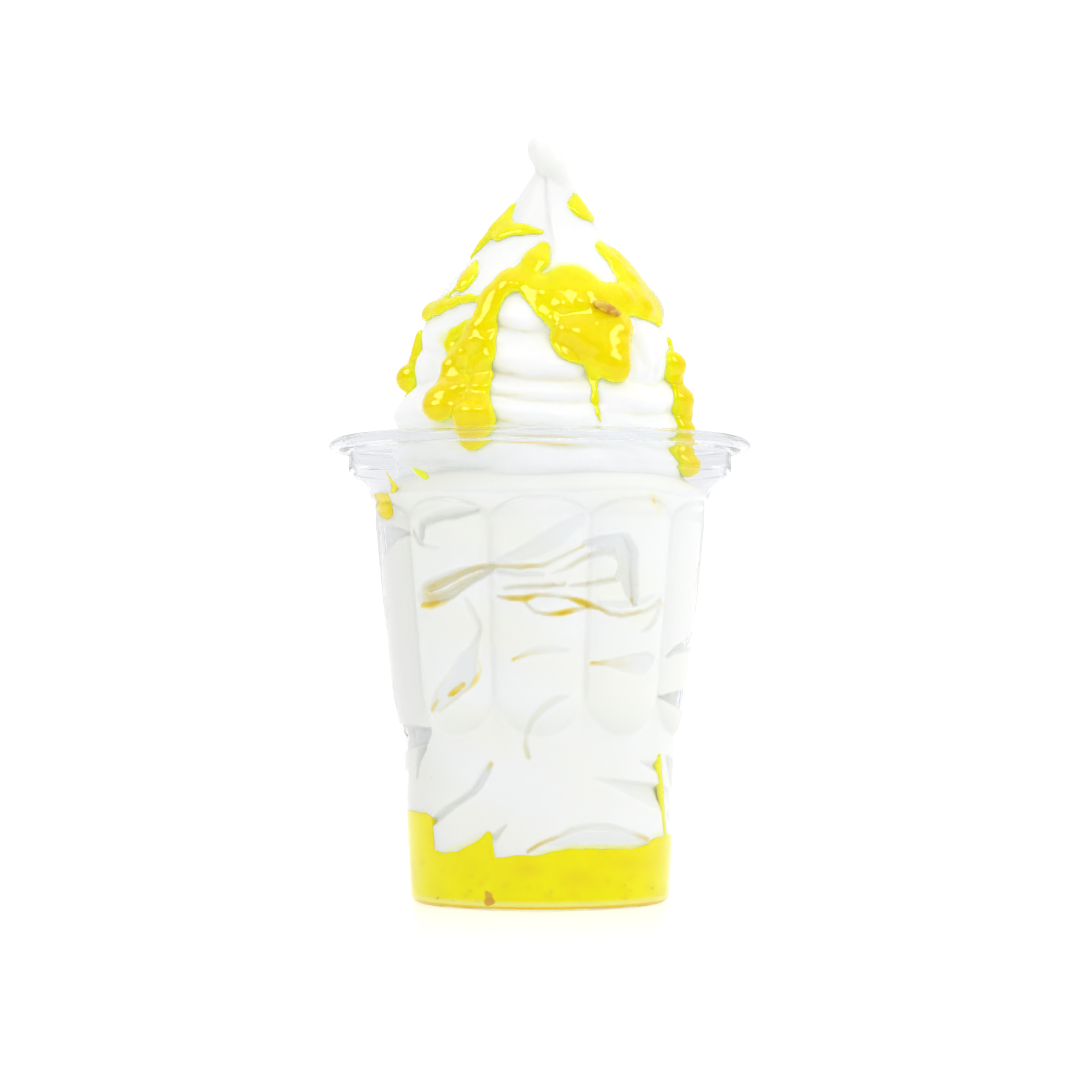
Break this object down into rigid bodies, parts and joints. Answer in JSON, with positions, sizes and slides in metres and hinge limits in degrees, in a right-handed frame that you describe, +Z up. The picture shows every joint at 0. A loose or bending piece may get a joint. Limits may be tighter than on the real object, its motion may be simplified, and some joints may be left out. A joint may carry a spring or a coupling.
{
  "type": "ice cream sundae",
  "caption": "Soft serve sundae in a clear ribbed plastic cup, with yellow fruit sauce at the bottom and drizzled over the curled swirl.",
  "frame": {"origin": "centre of the cup's underside, on the surface that it stands on", "axes": "+Z up through the swirl's tip; the side shown in the picture faces -Y, with +X to its right"},
  "size_m": [0.098, 0.098, 0.1771],
  "materials": {
    "clear_plastic": "thin clear plastic, smooth and glossy",
    "soft_serve": "white soft serve, smooth with a wet sheen",
    "yellow_sauce": "thick glossy lemon yellow sauce with small lumps"
  },
  "bodies": {
    "root": {"cup": "clear_plastic", "ice_cream": "soft_serve", "sauce_base": "yellow_sauce"}
  },
  "joints": []
}
